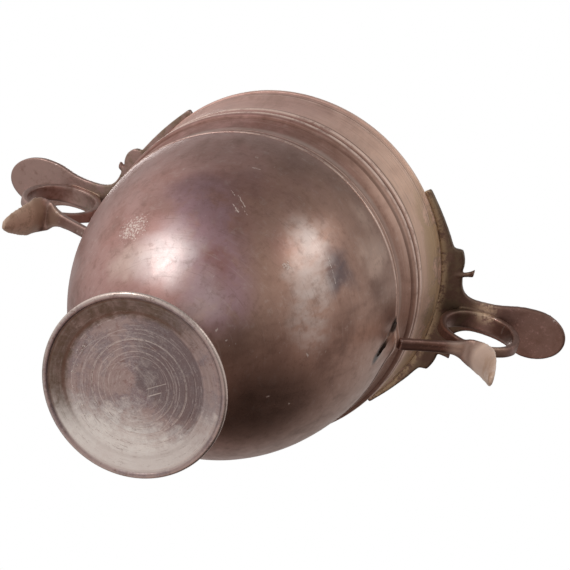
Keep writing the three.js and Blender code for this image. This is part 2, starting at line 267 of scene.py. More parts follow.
def wall_point(angle, height, radius):
    turn = math.radians(angle)
    return Vector((radius * math.cos(turn), radius * math.sin(turn), height)) * mm


def near_tear(place):
    angle = math.degrees(math.atan2(place.y, place.x))
    return abs(angle + 2) < 13 and 66 * mm < place.z < 92.5 * mm and place.x > 0


def refine(thing, test, cuts):
    edit(thing, test)
    bpy.ops.mesh.subdivide(number_cuts=cuts, quadcorner="INNERVERT")
    leave_edit()


def cut_slit(thing):
    top = wall_point(*tear_top, tear_radius)
    foot = wall_point(*tear_foot, tear_radius)
    middle = (top + foot) / 2
    along = (top - foot).normalized()
    out = Vector((middle.x, middle.y, 0)).normalized()
    across = along.cross(out).normalized()
    out = across.cross(along).normalized()
    bpy.ops.object.select_all(action="DESELECT")
    bpy.ops.mesh.primitive_cylinder_add(vertices=28, radius=1, depth=1)
    cutter = bpy.context.object
    half_length = (top - foot).length / 2
    half_width = slit_half_width * mm

    def lens(place):
        side = place.y * half_width * (1 - place.x * place.x * 0.55) * (1 + 0.3 * place.x)
        wave = (0.25 * math.sin(5 * place.x) + 0.3 * noise.noise(Vector((place.x * 6, place.y * 2, 0.5)))) * mm
        return middle + along * place.x * half_length + across * (side + wave) + out * place.z * 9 * mm

    shape(cutter, lens)
    edit(cutter)
    bpy.ops.mesh.normals_make_consistent(inside=False)
    leave_edit()
    apply_modifier(thing, "BOOLEAN", object=cutter, operation="DIFFERENCE", solver="EXACT")
    bpy.data.objects.remove(cutter)


def tear_rule(place):
    angle = math.degrees(math.atan2(place.y, place.x))
    if place.x < 0 or abs(angle) > 24 or not 60 * mm < place.z < 100 * mm:
        return place
    height = place.z / mm
    across = math.radians(angle) * tear_radius
    slit_across = math.radians(tear_top[0] - tear_foot[0]) * tear_radius
    slit_up = tear_top[1] - tear_foot[1]
    length = math.hypot(slit_across, slit_up)
    from_foot = (across - math.radians(tear_foot[0]) * tear_radius, height - tear_foot[1])
    share = (from_foot[0] * slit_across + from_foot[1] * slit_up) / length ** 2
    side = (from_foot[0] * slit_up - from_foot[1] * slit_across) / length
    gape = math.sin(math.pi * share) ** 0.6 if 0 < share < 1 else 0.0
    pull = 2.0 * math.exp(-((across - 0.6) / 4.2) ** 2 - ((height - 85.2) / 5.0) ** 2)
    lift = pull + 0.35 * math.exp(-((across + 8.6) / 2.2) ** 2 - ((height - 78.5) / 2.4) ** 2)
    if side < 0:
        lift = pull * (1 - gape) - 0.35 * gape * math.exp(side / 1.6)
    else:
        curl = max(0.0, 1 - side / 1.5) ** 1.6
        ragged = 0.75 + 0.5 * noise.noise(Vector((share * 7, 3.1, 0)))
        lift += 1.25 * gape * curl * ragged
    flat = Vector((place.x, place.y, 0))
    return place + flat.normalized() * lift * mm


refine(bowl, near_tear, 2)
cut_slit(bowl)
shape(bowl, tear_rule)
tell(bowl)

# %% [markdown]
# ## Hammered and pressed
#
# Nothing on the cup is quite true any more. The mouth is pressed in on the side of the left handle, and the
# hammered wall swells and sinks by a few hundredths of a millimetre, which bends the reflections. Both are
# rules that move vertices; the press is kept as its own rule, because the left handle follows it.

# %% Press and hammer
mouth_press = 4.0


def press_rule(place):
    radius = max(math.hypot(place.x, place.y), mm)
    rise = smoothstep(shoulder_height * mm, mouth_height * mm, place.z)
    side = max(0.0, -place.x / radius) ** 3
    scale = 1 - mouth_press * mm * rise * side / radius
    return Vector((place.x * scale, place.y * scale, place.z))


def hammer_rule(place):
    flat = Vector((place.x, place.y, (place.z - 90 * mm) * 0.35))
    wide = noise.noise(place / (16 * mm))
    close = noise.noise(place / (5.5 * mm) + Vector((7, 3, 1)))
    calm = 1 - 0.75 * smoothstep(112 * mm, 120 * mm, place.z)
    return place + flat.normalized() * (0.10 * wide + 0.022 * close - 0.06) * mm * calm


shape(bowl, press_rule)
shape(bowl, hammer_rule)
tell(bowl)

# %% [markdown]
# ## The foot
#
# The foot is the part that the photograph shows best: a thin rolled edge that it stands on, a long soft slope
# inside it, and a floor with the circles that the turner's tool left. Four circles are in the profile, and
# the hair-fine ones are left to the material. The turner's point was a little off the middle, so a rule moves
# the floor's circles sideways and leaves the edge where it is.

# %% Foot profile
turner_shift = 1.0


def scribed(radius, floor_height, depth):
    """A scribed circle in the floor, with a small burr on both sides"""
    return [(radius - 0.22, floor_height), (radius - 0.1, floor_height - depth * 0.6),
            (radius, floor_height + depth), (radius + 0.1, floor_height - depth * 0.6),
            (radius + 0.22, floor_height)]


def foot_profile():
    floor = 1.5
    points = [(0.0, floor - 0.05), (0.5, floor - 0.05), (0.8, floor)]
    for radius, depth in ((4.4, 0.02), (8.4, 0.03), (11.3, 0.045), (13.6, 0.02)):
        points += scribed(radius, floor, depth)
    points += [(15.4, floor), (15.9, floor - 0.015), (16.4, floor - 0.06), (16.9, floor - 0.15)]
    points += arc(points[-1], (20.1, 0.47), -0.1, 12)
    points += [(20.22, 0.52), (20.34, 0.46), (20.52, 0.4)]
    for step in range(15):
        angle = math.radians(mix(212, 410, step / 14))
        points.append((21.3 + 0.76 * math.cos(angle), 0.75 + 0.75 * math.sin(angle)))
    points += [(21.62, 1.7), (21.3, 2.05), (20.6, 2.2)]
    for step in range(1, 15):
        share = step / 14
        flare = (1 - share) ** 2
        points.append((mix(8.2, 20.6, flare), mix(2.2, 11.0, share * share)))
    points += [(8.35, 11.15), (8.35, 11.3)]
    points += bead(points[-1], (8.35, 12.6), 1.3, 9)
    points += arc(points[-1], (8.9, 14.2), -0.15, 5)
    seat_steps = 7
    for step in range(seat_steps + 1):
        across = 11.0 * (1 - step / seat_steps)
        rise = egg_half * (1 - math.sqrt(1 - (across / egg_radius) ** 2))
        points.append((across, bowl_bottom + rise - 0.3))
    return points


def off_middle(place):
    radius = math.hypot(place.x, place.y)
    share = (1 - smoothstep(12.5 * mm, 16 * mm, radius)) * (1 - smoothstep(1.7 * mm, 2.0 * mm, place.z))
    return place + Vector((turner_shift * mm * share, 0, 0))


foot = turn_profile("silver_foot", foot_profile(), 256)
shape(foot, off_middle)
tell(foot)

# %% [markdown]
# ## Cast handles: plate and arms
#
# Each handle was cast in one piece: a thumb plate, two arms that hug the rim with a lobe each, a finger ring,
# a strut with a leaf, and two small buds. The flat part is drawn as an outline in plan on a circle's
# vertices, and extruded to its thickness. Its corners are softened later, when a voxel remesh melts all the
# parts together.

# %% Outline in plan
arm_top = 124.2
arm_height = 2.8
plate_rise = 5.0
plate_thickness = 2.2
arm_gap = -0.45

right = {"turn": -0.55, "toward_view": -1, "spread": 1.0, "press": 0.0, "lean": 0.35,
         "reach": 94.75, "half_length": 10.6, "half_width": 7.8, "near_neck": 5.8, "far_neck": 4.1,
         "strut_reach": 48.4, "strut_height": 85.3, "strut_offset": 1.2,
         "leaf_reach": 76.0, "leaf_offset": 0.9, "leaf_tip": 78.2, "leaf_scale": 1.0, "leaf_early": 0.0,
         "bud_root": 4.3, "bud_length": 5.4, "bud_half": 0.95, "lobe": 0.8, "hook": 0.35}
left = {"turn": 180.0, "toward_view": 1, "spread": 1.14, "press": mouth_press, "lean": 0.0,
        "reach": 94.75, "half_length": 12.2, "half_width": 8.4, "near_neck": 6.2, "far_neck": 4.1,
        "strut_reach": 45.6, "strut_height": 88.4, "strut_offset": 0.4,
        "leaf_reach": 72.0, "leaf_offset": -0.7, "leaf_tip": 77.9, "leaf_scale": 1.2, "leaf_early": 0.09,
        "bud_root": 3.4, "bud_length": 4.5, "bud_half": 1.2, "lobe": 1.5, "hook": 0.0}


def polar(radius, degrees):
    return (radius * math.cos(math.radians(degrees)), radius * math.sin(math.radians(degrees)))


def bezier(start, control_a, control_b, end, steps):
    points = []
    for step in range(1, steps + 1):
        t = step / steps
        u = 1 - t
        weights = (u ** 3, 3 * u * u * t, 3 * u * t * t, t ** 3)
        corners = (start, control_a, control_b, end)
        points.append(tuple(sum(w * corner[axis] for w, corner in zip(weights, corners)) for axis in (0, 1)))
    return points


def half_outline(own, side):
    """One half of the flat part, from the tip of the plate round to the middle of the inner edge"""
    half_length, half_width = own["half_length"], own["half_width"]
    near = side == own["toward_view"]
    neck = own["near_neck"] if near else own["far_neck"]
    middle = own["reach"] - half_length
    points = []
    for step in range(1, 19):
        angle = math.radians(90 * step / 18)
        points.append((middle + half_length * math.cos(angle), half_width * math.sin(angle)))
    neck_out = mouth_radius + 13.0
    neck_in = mouth_radius - own["press"] + 2.4
    widening = mix(neck_out, middle, 0.5 if near else 0.72)
    points += bezier(points[-1], (widening, half_width), (widening, neck), (neck_out, neck), 12)
    root = polar(mouth_radius + 6.4, (12.0 if near else 10.6) * own["spread"])
    inside = ((neck_in + neck_out) / 2, neck)
    points += bezier(points[-1], inside, (neck_in + 3.4, 7.4), (root[0] - own["press"] * 0.9, root[1]), 12)
    rim = []
    lobe_start, lobe_end = (13.4, 20.0) if near else (11.8, 19.1)
    for step in range(9):
        share = step / 8
        swell = own["lobe"] * math.sin(math.pi * share) ** 0.7 + own["hook"] * share ** 6
        rim.append((mouth_radius + 5.8 + swell, mix(lobe_start, lobe_end, share)))
    rim += [(mouth_radius + 5.0, lobe_end + 0.35), (mouth_radius + 3.9, lobe_end + 0.7)]
    for step in range(13):
        share = step / 12
        rim.append((mouth_radius + mix(1.6, 3.5, (1 - share) ** 1.6), mix(21.3, 39.9, share)))
    rim += [(mouth_radius + 1.5, 40.6), (mouth_radius + arm_gap, 40.7)]
    for step in range(1, 25):
        rim.append((mouth_radius + arm_gap, 40.7 * (1 - step / 25)))
    for radius, degrees in rim:
        angle = degrees * own["spread"]
        outer = smoothstep(0.5, 1.5, radius - mouth_radius)
        pressed = radius - own["press"] * math.cos(math.radians(angle)) ** 3 - side * own["lean"] * outer
        points.append(polar(pressed, angle))
    return points


def flat_part(name, own):
    inner_middle = (mouth_radius + arm_gap - own["press"], 0.0)
    outline = [(own["reach"], 0.0)] + half_outline(own, 1) + [inner_middle]
    outline += [(x, -y) for x, y in reversed(half_outline(own, -1))]
    bpy.ops.object.select_all(action="DESELECT")
    bpy.ops.mesh.primitive_circle_add(vertices=len(outline), radius=mm, fill_type="NGON")
    body = named(bpy.context.object, name)
    for vertex, (x, y) in zip(body.data.vertices, outline):
        vertex.co = Vector((x, y, arm_top - arm_height)) * mm
    edit(body)
    bpy.ops.mesh.extrude_region_move(TRANSFORM_OT_translate={"value": (0, 0, arm_height * mm)})
    bpy.ops.mesh.select_all(action="SELECT")
    bpy.ops.mesh.normals_make_consistent(inside=False)
    leave_edit()
    apply_modifier(body, "REMESH", mode="VOXEL", voxel_size=0.36 * mm)

    def raise_plate(place):
        x, y, z = place / mm
        share = min(1.0, max(0.0, (x - mouth_radius) / (own["reach"] - mouth_radius)))
        thin = mix(1.0, plate_thickness / arm_height, smoothstep(0.1, 0.35, share))
        lift = plate_rise * share * (2 - share)
        dish = 0.35 * smoothstep(0.3, 0.8, share) * (1 - (y / 7.8) ** 2)
        return Vector((x, y, arm_top - (arm_top - z) * thin + lift - dish)) * mm

    shape(body, raise_plate)
    return body


# %% [markdown]
# ## Cast handles: ring, strut, leaf and bud
#
# The finger ring is a torus, drawn out into an oval strap that is broad at the plate and narrow at its foot.
# Strut and leaf are one bar that follows a curve: a cylinder is divided along its length, and a rule gives
# every section its place, breadth and thickness, with a hollow like a spoon's where the bar widens into the
# leaf.

# %% Ring and bars
ring_reach = 68.8
ring_half_width = 11.2
ring_half_height = 13.4


def plate_lift(own, reach):
    share = (reach - mouth_radius) / (own["reach"] - mouth_radius)
    return plate_rise * share * (2 - share)


def ring_levels(own):
    top = arm_top - plate_thickness + plate_lift(own, ring_reach) - 0.5
    return top, top - 2 * ring_half_height


def finger_ring(own):
    top, low = ring_levels(own)
    tube = 0.1
    flatness = 0.42
    bpy.ops.object.select_all(action="DESELECT")
    bpy.ops.mesh.primitive_torus_add(major_segments=96, minor_segments=24, major_radius=1, minor_radius=tube,
                                     rotation=(math.pi / 2, 0, 0))
    ring = bpy.context.object
    bpy.ops.object.transform_apply(rotation=True)

    def boxed(value):
        return math.copysign(min(1.0, abs(value)) ** flatness, value)

    def strap(place):
        x, y, z = place
        radius = math.hypot(x, z)
        share = smoothstep(-1, 1, z / radius)
        out = mix(0.95, 1.3, share) * boxed((radius - 1) / tube)
        across = mix(1.5, 2.9, share) * boxed(y / tube) + 0.15 * own["toward_view"] * share
        reach = ring_reach + (ring_half_width + out) * x / radius
        height = (top + low) / 2 + (ring_half_height + out) * z / radius
        return Vector((reach, across, height)) * mm

    shape(ring, strap)
    return ring


def follow(points, share):
    """Place and direction on a smooth curve through the points, at a share of the way"""
    spans = len(points) - 1
    where = min(share * spans, spans - 1e-6)
    index = int(where)
    t = where - index
    before = points[max(index - 1, 0)]
    start, end = points[index], points[index + 1]
    after = points[min(index + 2, spans)]
    place = 0.5 * (2 * start + (end - before) * t + (2 * before - 5 * start + 4 * end - after) * t * t
                   + (3 * start - before - 3 * end + after) * t ** 3)
    course = 0.5 * ((end - before) + 2 * (2 * before - 5 * start + 4 * end - after) * t
                    + 3 * (3 * start - before - 3 * end + after) * t * t)
    return place, course.normalized()


def drawn_bar(points, section, segments, sides, shift_side):
    """A bar along a curve; section gives half breadth, half thickness, cup, squareness and shift at a share"""
    bpy.ops.object.select_all(action="DESELECT")
    bpy.ops.mesh.primitive_cylinder_add(vertices=sides, radius=1, depth=1, end_fill_type="TRIFAN")
    bar = bpy.context.object
    edit(bar, kind="EDGE")
    bpy.ops.mesh.select_all(action="DESELECT")
    leave_edit()
    for edge in bar.data.edges:
        a, b = (bar.data.vertices[index].co for index in edge.vertices)
        edge.select = abs(a.z - b.z) > 0.5
    bpy.ops.object.mode_set(mode="EDIT")
    bpy.ops.mesh.subdivide(number_cuts=segments - 1)
    leave_edit()

    def bend(place):
        share = place.z + 0.5
        centre, along = follow(points, share)
        half_breadth, half_thickness, cup, square, shift = section(share)
        side = Vector((0, 1, 0))
        up = side.cross(along).normalized() * -1
        radius = math.hypot(place.x, place.y)
        if radius > 0.1:
            spread = 1 + square * (2 * abs(place.x * place.y))
            x, y = place.x * spread, place.y * spread
        else:
            x, y = place.x, place.y
        off = y * half_breadth + shift * shift_side
        return (centre + side * off + up * (x * half_thickness + cup * y * y)) * mm

    shape(bar, bend)
    edit(bar)
    bpy.ops.mesh.normals_make_consistent(inside=False)
    leave_edit()
    return bar


leaf_stations = ((0.0, 1.55), (0.2, 1.6), (0.3, 1.9), (0.4, 2.8), (0.5, 4.0), (0.62, 5.0), (0.75, 5.2),
                 (0.85, 4.3), (0.93, 2.8), (1.0, 1.0))


def strut_and_leaf(own):
    low = ring_levels(own)[1]
    strut_y, leaf_y = own["strut_offset"], own["leaf_offset"]
    points = [Vector((own["strut_reach"], strut_y, own["strut_height"])),
              Vector((61.8, strut_y, low - 2.2)),
              Vector((67.9, (strut_y + leaf_y) / 2, low - 0.4)),
              Vector((own["leaf_reach"] - 2.9, leaf_y, mix(low, own["leaf_tip"], 0.42))),
              Vector((own["leaf_reach"], leaf_y, own["leaf_tip"]))]

    def section(share):
        share += own["leaf_early"] * math.sin(math.pi * share)
        before, half_breadth = leaf_stations[0]
        for after, wider in leaf_stations[1:]:
            if share <= after:
                half_breadth = mix(half_breadth, wider, (share - before) / (after - before))
                break
            before, half_breadth = after, wider
        leaf = smoothstep(0.3, 0.7, share)
        half_breadth *= mix(1.0, own["leaf_scale"], leaf)
        early = (half_breadth - 1.6) * 0.2 * (1 - smoothstep(0.5, 0.8, share))
        return half_breadth, mix(1.15, 0.75, leaf), 1.5 * leaf * half_breadth / 5.2, 0.3 * (1 - leaf), early

    return drawn_bar(points, section, 72, 20, -own["toward_view"])


def bud(own, sign):
    angle = sign * 12.5 * own["spread"]
    press = own["press"] * math.cos(math.radians(angle)) ** 3
    level = arm_top - arm_height / 2
    points = []
    for step in range(4):
        share = step / 3
        x, y = polar(mouth_radius + own["bud_root"] - press + own["bud_length"] * share, angle)
        points.append(Vector((x, y + own["toward_view"] * 0.9 * share * share, level + 0.2 * share)))

    def section(share):
        flare = smoothstep(0.72, 0.95, share)
        waist = math.sin(math.pi * min(1.0, share / 0.8))
        half = mix(own["bud_half"] - 0.12 * waist, 1.3, flare)
        return half, half, 0.0, 0.0, 0.0

    return drawn_bar(points, section, 14, 14, 1)


# %% [markdown]
# ## Melting the parts together
#
# A cast handle has no seams: each part flows into the next through a small hollow. Booleans would leave sharp
# corners, so the parts are joined, remeshed with fine voxels and smoothed, which rounds edges and fills
# corners as wax does. The left handle is the same casting, turned half way round and pressed in with the
# mouth.

# %% Two handles
def cast_handle(name, own):
    parts = [flat_part(name, own), finger_ring(own), strut_and_leaf(own), bud(own, 1), bud(own, -1)]
    bpy.ops.object.select_all(action="DESELECT")
    for part in parts:
        part.select_set(True)
    bpy.context.view_layer.objects.active = parts[0]
    bpy.ops.object.join()
    body = named(bpy.context.object, name)
    apply_modifier(body, "REMESH", mode="VOXEL", voxel_size=0.3 * mm)
    apply_modifier(body, "SMOOTH", factor=0.5, iterations=10)
    turn = Matrix.Rotation(math.radians(own["turn"]), 3, "Z")

    def place_and_age(place):
        worn = 0.05 * noise.noise(place / (3.2 * mm)) * mm
        return turn @ (place + Vector((worn, worn, worn)) * 0.6)

    shape(body, place_and_age)
    pick(body)
    bpy.ops.object.shade_smooth()
    tell(body)
    return body


handle_right = cast_handle("cast_handle_right", right)
handle_left = cast_handle("cast_handle_left", left)

# %% [markdown]
# ## Smooth shading
#
# The turned pieces are smooth everywhere but at their crisp steps, so they are shaded smooth by angle: edges
# that bend by more than the angle stay sharp.

# %% Smooth by angle
for piece, degrees in ((bowl, 40), (foot, 50)):
    pick(piece)
    bpy.ops.object.shade_smooth_by_angle(angle=math.radians(degrees))
    print(piece.name, "smooth up to", degrees, "degrees")

# %% [markdown]
# ## A language for finishes
#
# A finish is a small program of nodes. Wiring them one by one hides the thought, so a `Field` wraps a socket
# and lets it be used in sums: `1 - mask` adds a Math node by itself. Every other node comes from
# `Finish.node`, which takes its type, its settings and its sockets. Places are in millimetres, so a size in a
# finish is a real size.

# %% Fields and finishes
class Field:
    """A socket that can be used in sums with numbers and other fields"""

    def __init__(self, finish, socket):
        self.finish = finish
        self.socket = socket

    def math(self, operation, *others):
        return self.finish.node("Math", {"operation": operation}, dict(enumerate((self, *others))))

    def __add__(self, other):
        return self.math("ADD", other)

    def __sub__(self, other):
        return self.math("SUBTRACT", other)

    def __rsub__(self, other):
        return self.finish.node("Math", {"operation": "SUBTRACT"}, {0: other, 1: self})

    def __mul__(self, other):
        return self.math("MULTIPLY", other)

    def __truediv__(self, other):
        return self.math("DIVIDE", other)

    def __pow__(self, other):
        return self.math("POWER", other)

    __radd__ = __add__
    __rmul__ = __mul__

    def most(self, other):
        return self.math("MAXIMUM", other)

    def step(self, low, high):
        """0 at low and 1 at high, smooth between them; low may be the greater one"""
        return self.finish.node("MapRange", {"interpolation_type": "SMOOTHSTEP"},
                                {"Value": self, "From Min": low, "From Max": high})

    def band(self, centre, width):
        """1 at the centre, falling to 0 at a width away from it"""
        return (self - centre).math("ABSOLUTE").step(width, 0.25 * width)


class Finish:
    """The nodes of a material or of the world"""

    def __init__(self, holder):
        holder.use_nodes = True
        self.holder = holder
        self.tree = holder.node_tree

    def node(self, kind, settings=None, sockets=None, output=0):
        made = self.tree.nodes.new("ShaderNode" + kind)
        for name, value in (settings or {}).items():
            setattr(made, name, value)
        for name, value in (sockets or {}).items():
            if isinstance(value, Field):
                self.tree.links.new(value.socket, made.inputs[name])
            else:
                made.inputs[name].default_value = value
        return Field(self, made.outputs[output])

    def vector(self, operation, one, other=None, output="Vector", **sockets):
        values = {0: one, **({} if other is None else {1: other}), **sockets}
        return self.node("VectorMath", {"operation": operation}, values, output)

    def blend(self, under, over, share):
        return self.node("Mix", {"data_type": "RGBA"}, {0: share, 6: under, 7: over}, 2)

    def noise(self, place, size, seed=0.0, detail=3.0, roughness=0.5, twist=0.0):
        sockets = {"Vector": place, "W": seed, "Scale": 1 / size, "Detail": detail, "Roughness": roughness,
                   "Distortion": twist}
        return self.node("TexNoise", {"noise_dimensions": "4D"}, sockets)

    def place(self):
        """Where a point is on the object, in millimetres, and its three parts"""
        where = self.vector("SCALE", self.node("TexCoord", output="Object"), Scale=1 / mm)
        parts = self.node("SeparateXYZ", {}, {0: where}).socket.node.outputs
        return where, [Field(self, part) for part in parts]

    def stroke(self, where, start, end, width):
        """A scratch from start to end: 1 along it, 0 beyond its half width"""
        start, end = Vector(start), Vector(end)
        off = self.vector("SUBTRACT", where, start)
        along = (end - start).normalized()
        share = self.vector("DOT_PRODUCT", off, along, "Value")
        kept = self.node("Clamp", {}, {"Value": share, "Min": 0.0, "Max": (end - start).length})
        nearest = self.vector("SCALE", along, Scale=kept)
        return self.vector("DISTANCE", off, nearest, "Value").step(width, 0.3 * width)

    def near(self, where, centre, reach, full):
        """0 further than reach from the centre, 1 within full of it"""
        return self.vector("DISTANCE", where, centre, "Value").step(reach, full)

    def shaken(self, where, scale, detail, reach):
        """The place, moved about by up to half the reach, so that what is drawn with it gets a ragged edge"""
        tossed = self.node("TexNoise", {}, {"Vector": where, "Scale": scale, "Detail": detail}, "Color")
        off = self.vector("SUBTRACT", tossed, (0.5, 0.5, 0.5))
        return self.vector("ADD", where, self.vector("SCALE", off, Scale=reach))


class Paint:
    """Tones laid over each other, each with its own mask"""

    def __init__(self, finish, ground):
        self.finish = finish
        self.colour = ground

    def over(self, tone, share):
        self.colour = self.finish.blend(self.colour, tone, share)


def strongest(masks):
    """At each point, the greatest of several masks"""
    whole, *others = masks
    for mask in others:
        whole = whole.most(mask)
    return whole


def new_silver(name, coat):
    finish = Finish(bpy.data.materials.new(name))
    finish.shader = finish.tree.nodes["Principled BSDF"]
    for socket, value in (("Metallic", 0.96), ("Coat Weight", coat), ("Coat Roughness", 0.3)):
        finish.shader.inputs[socket].default_value = value
    return finish


def wear_finish(finish, paint, rough, height):
    """Joins colour, roughness and relief to the shader; the relief's height is in millimetres"""
    relief = finish.node("Bump", {}, {"Height": height, "Distance": mm, "Strength": 1.0})
    for name, field in (("Base Color", paint.colour), ("Roughness", rough), ("Normal", relief)):
        finish.tree.links.new(field.socket, finish.shader.inputs[name])
    print(finish.holder.name, "has", len(finish.tree.nodes), "nodes")
    return finish.holder


# %% [markdown]
# ## Tones of old silver
#
# Silver that lay in the ground is never grey. Its thin tarnish goes from rosy and mauve to violet where it is
# thinnest, and to brown and umber where it is thick; dirt in the corners is olive. They are meant as colours of
# the metal itself. A rubbed patch and a highlight look alike, and the pale clouds that lie under the two
# highlights are partly rubbed metal and partly painted highlight.

# %% Tones
mauve = (0.50, 0.292, 0.268, 1)
rosy = (0.47, 0.245, 0.215, 1)
violet = (0.46, 0.285, 0.33, 1)
tan = (0.46, 0.286, 0.222, 1)
umber = (0.20, 0.108, 0.08, 1)
russet = (0.33, 0.15, 0.13, 1)
plum = (0.26, 0.15, 0.155, 1)
slate = (0.165, 0.12, 0.125, 1)
print("8 tones of tarnish")

# %% Tones of rubbed metal and of dirt
# The frost, ash and blush tones lie only under the two highlights, so they are partly painted highlight.
sand = (0.82, 0.59, 0.49, 1)
lilac = (0.60, 0.475, 0.48, 1)
blush_and_painted_halo = (0.74, 0.56, 0.50, 1)
ash_and_painted_highlight = (0.64, 0.57, 0.55, 1)
frost_and_painted_highlight = (0.80, 0.74, 0.735, 1)
pale = (0.75, 0.64, 0.60, 1)
scratched = (0.92, 0.82, 0.76, 1)
olive = (0.23, 0.18, 0.11, 1)
ochre = (0.74, 0.55, 0.37, 1)
print("7 tones of rubbed metal, 2 of dirt")

# %% [markdown]
# ## Marks of the bowl
#
# An even finish would look new, so each mark has its own place. It was picked in the photograph, and
# many were carried to the wall along the line of sight. A cloud has a centre, a reach, a tone and a strength,
# and a scratch has two ends and a half width, all in millimetres. The rings of the lathe are lists of height,
# half width and strength: dirt stays in the grooves, and the crests are rubbed pale and carry a painted
# highlight.

# %% Clouds of tarnish
# Clouds of lilac, frost and blush round the main highlight, and of ash and pale round the second, are partly
# rubbed metal, partly painted highlight.
clouds = (
    ((-9.4, -36.0, 47.8), 10.0, plum, 0.42), ((0.8, -40.0, 54.4), 9.0, plum, 0.3),
    ((-11.4, -42.1, 66.1), 13.0, umber, 0.32), ((6.8, -44.0, 70.2), 13.0, umber, 0.4),
    ((-17.5, -31.5, 42.0), 8.0, umber, 0.3), ((20.1, -41.2, 76.0), 9.0, umber, 0.25),
    ((4.6, -25.0, 30.0), 6.5, russet, 0.65), ((8.4, -20.2, 26.5), 5.0, russet, 0.6),
    ((13.7, -8.6, 22.4), 7.0, umber, 0.35), ((36.7, -10.7, 50.2), 9.0, umber, 0.7),
    ((33.0, -6.5, 43.0), 8.0, umber, 0.6), ((18.0, -36.0, 58.0), 8.0, umber, 0.3),
    ((16.0, -29.0, 42.0), 6.0, russet, 0.3), ((30.0, -34.0, 76.0), 7.0, sand, 0.5),
    ((36.5, -26.8, 71.0), 9.0, sand, 0.75), ((39.5, -18.5, 67.0), 7.0, umber, 0.35),
    ((38.5, -29.0, 78.0), 6.5, sand, 0.6), ((-7.3, -22.7, 28.3), 12.0, lilac, 0.6),
    ((-9.5, -28.0, 34.0), 8.0, lilac, 0.5), ((6.0, -17.0, 23.5), 9.0, lilac, 0.5),
    ((-16.5, -18.1, 29.0), 9.0, blush_and_painted_halo, 0.8), ((-5.1, -45.3, 75.8), 11.0, umber, 0.35),
    ((9.0, -45.0, 76.5), 11.0, umber, 0.3), ((25.1, -7.6, 30.8), 7.0, umber, 0.35),
    ((40.7, -17.7, 69.4), 8.0, umber, 0.3), ((22.2, -30.9, 49.6), 8.0, ash_and_painted_highlight, 0.5),
    ((25.5, -22.5, 42.0), 8.0, pale, 0.5), ((-7.3, -22.7, 28.3), 11.0, frost_and_painted_highlight, 0.5),
    ((30.5, -25.0, 53.5), 9.5, slate, 0.95), ((31.5, -22.0, 50.0), 6.0, slate, 0.7),
    ((3.0, -41.0, 62.0), 3.2, mauve, 0.5))
print(len(clouds), "clouds of tarnish")

# %% Chafed patches and scratches
chafed = (((-19.4, -24.0, 36.6), 6.5), ((20.0, -25.7, 39.5), 2.0), ((3.8, -34.5, 43.0), 1.1),
          ((0.2, -43.6, 65.8), 0.8))
scratches = (((-0.4, -37.6, 48.6), (6.5, -34.1, 43.0), 0.13), ((2.0, -37.1, 47.6), (5.1, -35.4, 44.9), 0.17),
             ((2.0, -35.3, 44.2), (4.2, -34.2, 42.6), 0.2), ((1.0, -42.0, 60.2), (2.9, -42.0, 60.5), 0.28),
             ((27.5, -27.5, 51.6), (31.6, -21.5, 50.1), 0.13), ((30.7, -6.3, 37.4), (31.0, -5.6, 37.8), 0.3),
             ((25.0, 4.8, 30.0), (25.4, 4.6, 30.6), 0.3), ((29.7, 7.3, 36.3), (29.9, 7.5, 36.6), 0.3),
             ((10.6, -10.7, 21.8), (10.8, -11.2, 22.0), 0.25), ((13.4, -8.9, 22.3), (13.6, -9.1, 22.8), 0.25))
print(len(chafed), "chafed patches,", len(scratches), "scratches")

# %% Grooves and crests
groove_rings = ((99.4, 0.5, 1.0), (103.2, 0.6, 1.0), (95.0, 0.5, 0.6), (117.9, 0.4, 0.7))
crest_rings = ((97.4, 1.3, 1.0), (101.0, 1.1, 1.0), (82.3, 1.3, 0.75), (85.6, 0.5, 0.6),
               (117.2, 0.45, 0.7), (121.4, 0.9, 0.8))
# the crests' pale tone: partly rubbed metal, partly painted highlight along each edge
crest_wear_and_highlight = (1.0, 0.80, 0.71, 1)
print(len(groove_rings), "grooves and", len(crest_rings), "crests")

# %% Marks at the tear
tear_line = (wall_point(*tear_foot, 45.4) / mm, wall_point(*tear_top, 45.4) / mm)
lip_line = (wall_point(*tear_foot, 44.9) / mm, wall_point(*tear_top, 44.9) / mm)
tear_ends = ((wall_point(-8.2, 83.0, 46.7) / mm, wall_point(-6.2, 80.6, 46.3) / mm, 2.4),
             (wall_point(2.0, 70.3, 44.6) / mm, wall_point(0.2, 72.6, 45.0) / mm, 2.6))
# near-black painted shade for the slit and the ends of the tear
slit_shade_black = (0.02, 0.013, 0.01, 1)
# the length printed is that of the painted shade along the slit
print("the tear's dirt is", round((tear_line[1] - tear_line[0]).length, 1), "mm long")

# %% [markdown]
# ## Finish of the bowl
#
# The bowl's tarnish lies in soft clouds over a ground that is tan towards the right handle, and mauve and
# violet in front. Turning marks run round the neck and lip, the grooves are dark and the crests pale. On top
# come the marks that make it this bowl, and dirt beside the handles. The picture doesn't show the inside,
# which is kept greyer: light goes to and fro in there, and each time it takes more of the metal's tone.


